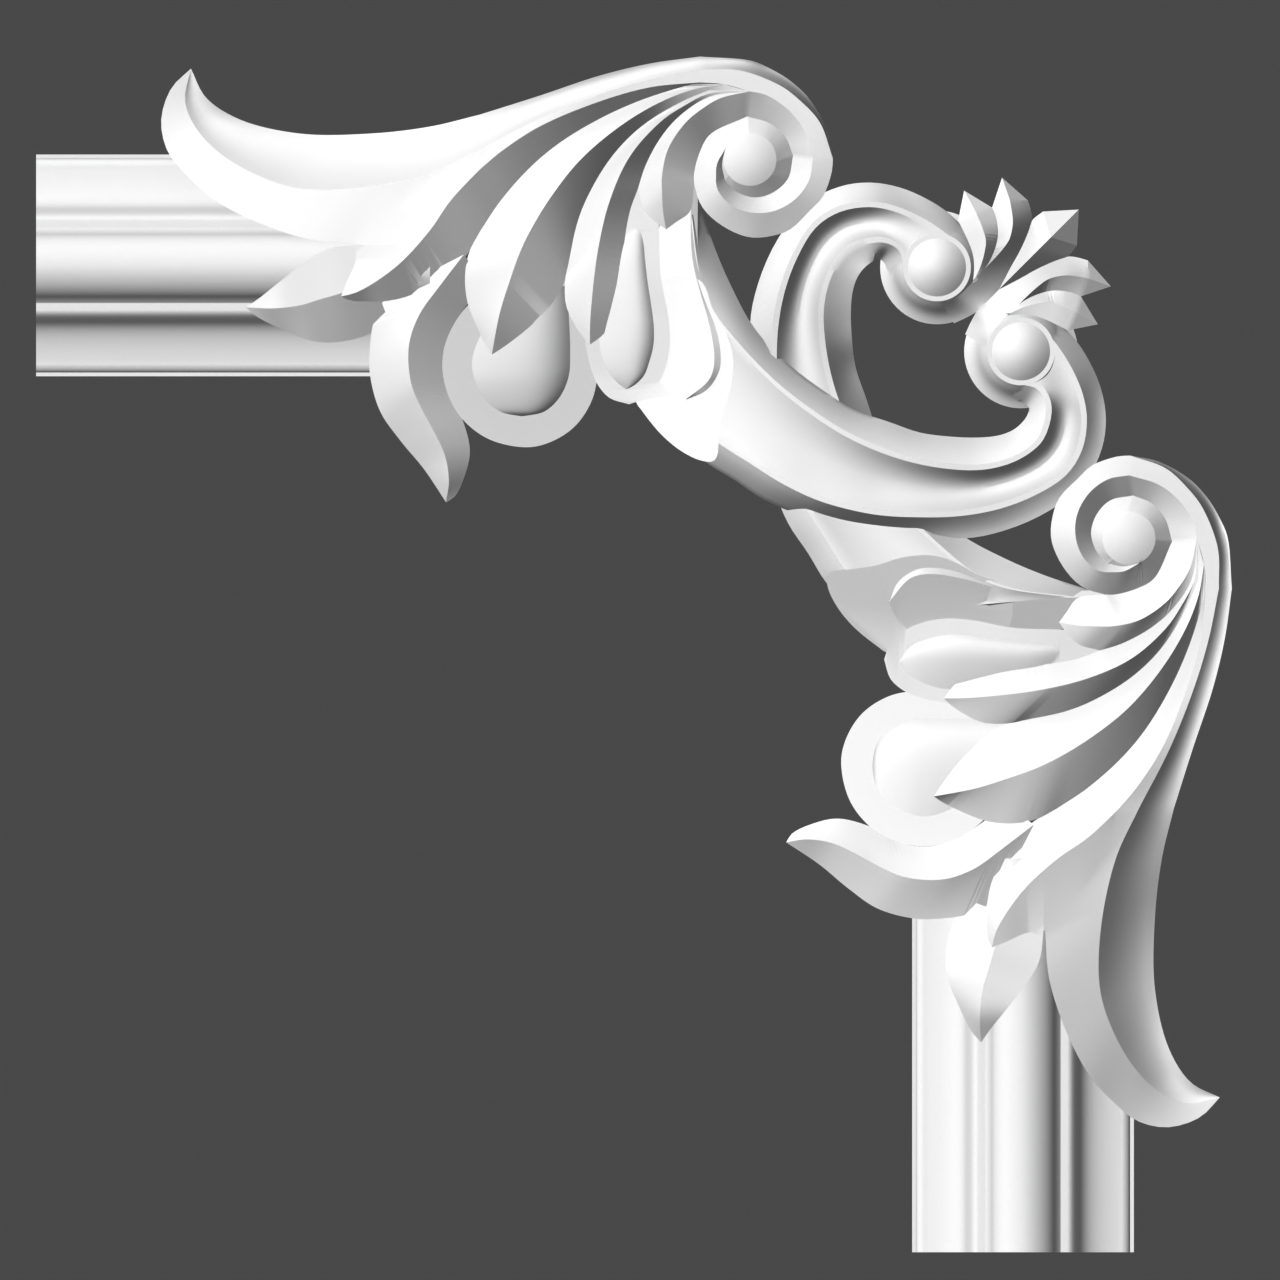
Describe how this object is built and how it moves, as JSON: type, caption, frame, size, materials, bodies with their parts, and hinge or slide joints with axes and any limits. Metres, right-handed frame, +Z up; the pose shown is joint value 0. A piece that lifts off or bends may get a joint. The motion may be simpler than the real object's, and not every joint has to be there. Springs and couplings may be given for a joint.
{
  "type": "moulding corner",
  "caption": "Carved corner for wall-panel moulding: two square-cut moulding ends meet under leaf sprays, scrolls, a heart-shaped stem crossing and a palmette.",
  "frame": {"origin": "on the flat back, on the corner's diagonal, under the crossing of the two stems", "axes": "+Z up along the standing moulding, +X to the right along the lying moulding towards the corner's outer point, +Y out of the back into the wall; the carved front faces -Y"},
  "size_m": [0.299, 0.0275, 0.299],
  "materials": {
    "plaster": "matt"
  },
  "bodies": {
    "root": {"corner_casting": "plaster"}
  },
  "joints": []
}
